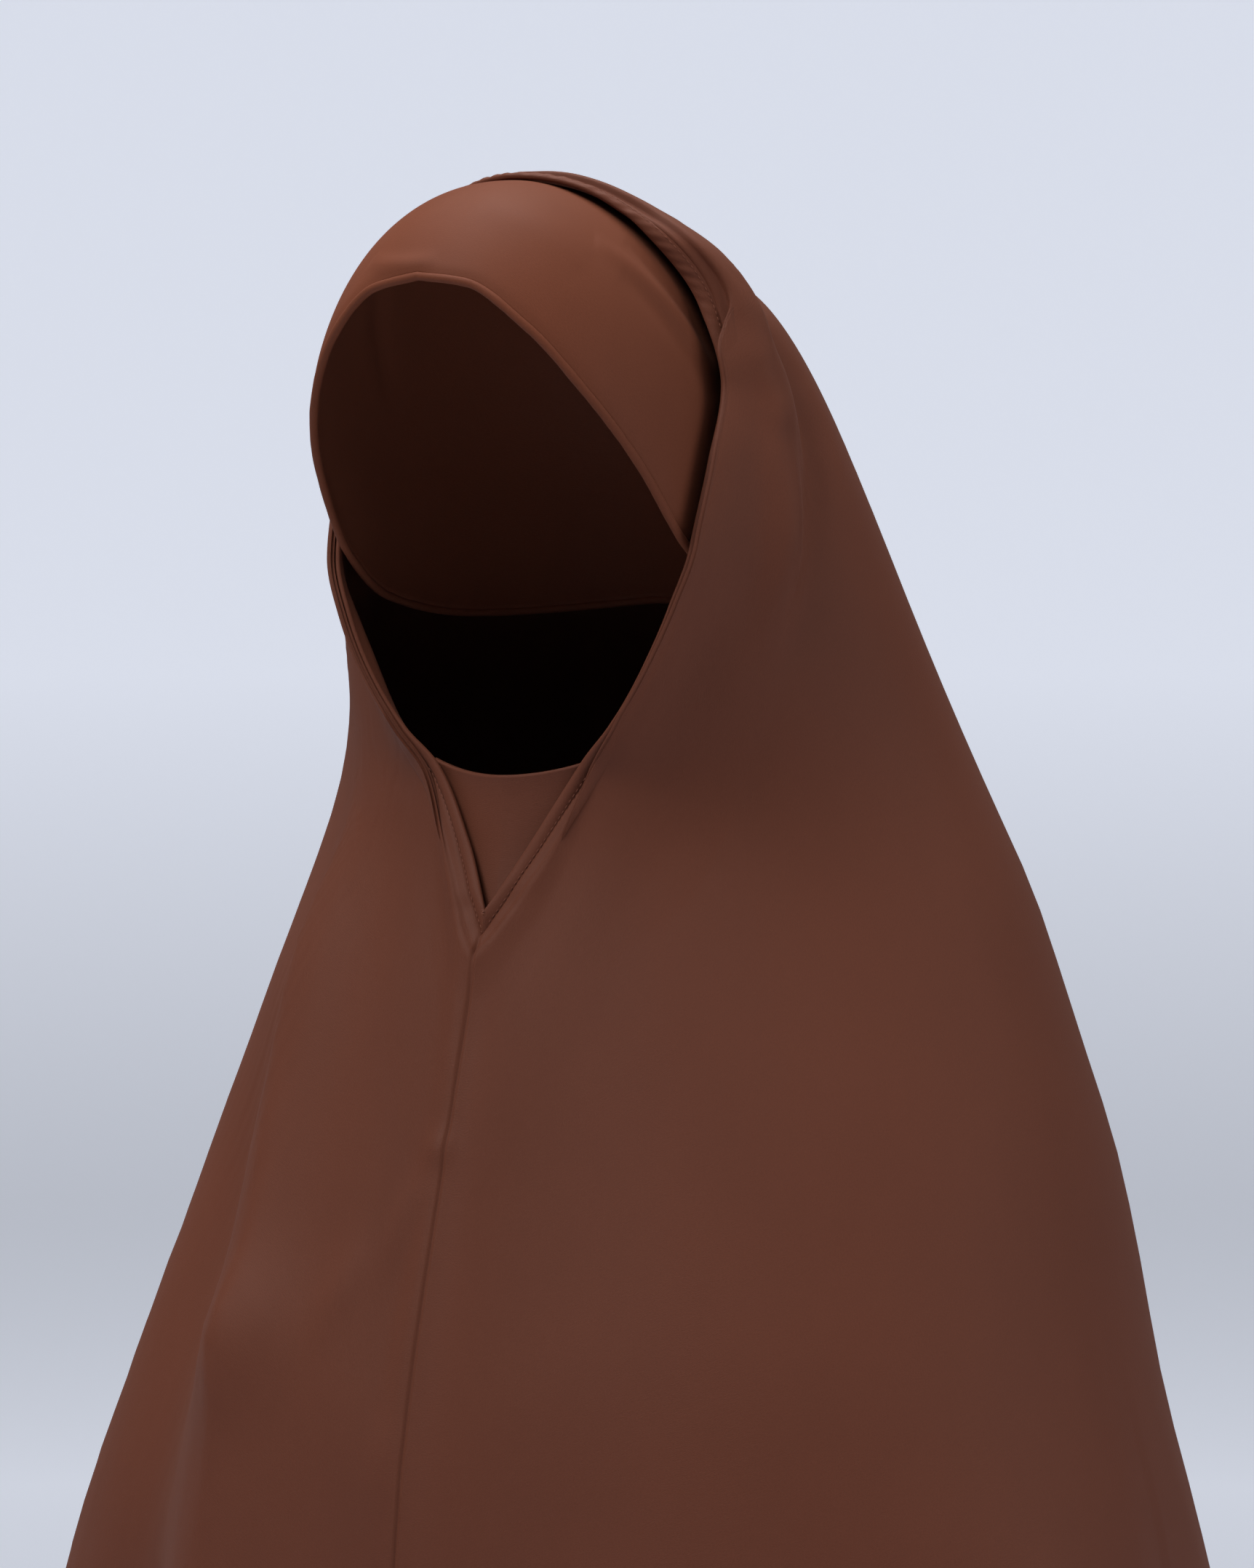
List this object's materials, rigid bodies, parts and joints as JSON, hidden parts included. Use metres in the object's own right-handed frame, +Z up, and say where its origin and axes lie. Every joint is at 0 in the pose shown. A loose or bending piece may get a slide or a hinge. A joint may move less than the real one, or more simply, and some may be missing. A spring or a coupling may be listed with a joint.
{
  "type": "khimar veil",
  "caption": "Worn head veil in one draped cloth from crown to hips, with a face hem, an inner forehead band and a neckline panel.",
  "frame": {"origin": "inside of the crown, where the band and the veil sit on top of the head", "axes": "+Z up, the face looks to -Y, the wearer's left is +X"},
  "size_m": [0.5931, 0.4748, 0.9822],
  "materials": {
    "crepe": "matte reddish-brown crepe with a fine weave and a faint sheen",
    "band_crepe": "smooth reddish-brown stretch crepe, a little brighter than the veil"
  },
  "bodies": {
    "root": {"veil_body": "crepe", "face_hem": "crepe", "neck_panel": "crepe", "forehead_band": "band_crepe", "band_edge": "band_crepe"}
  },
  "joints": []
}
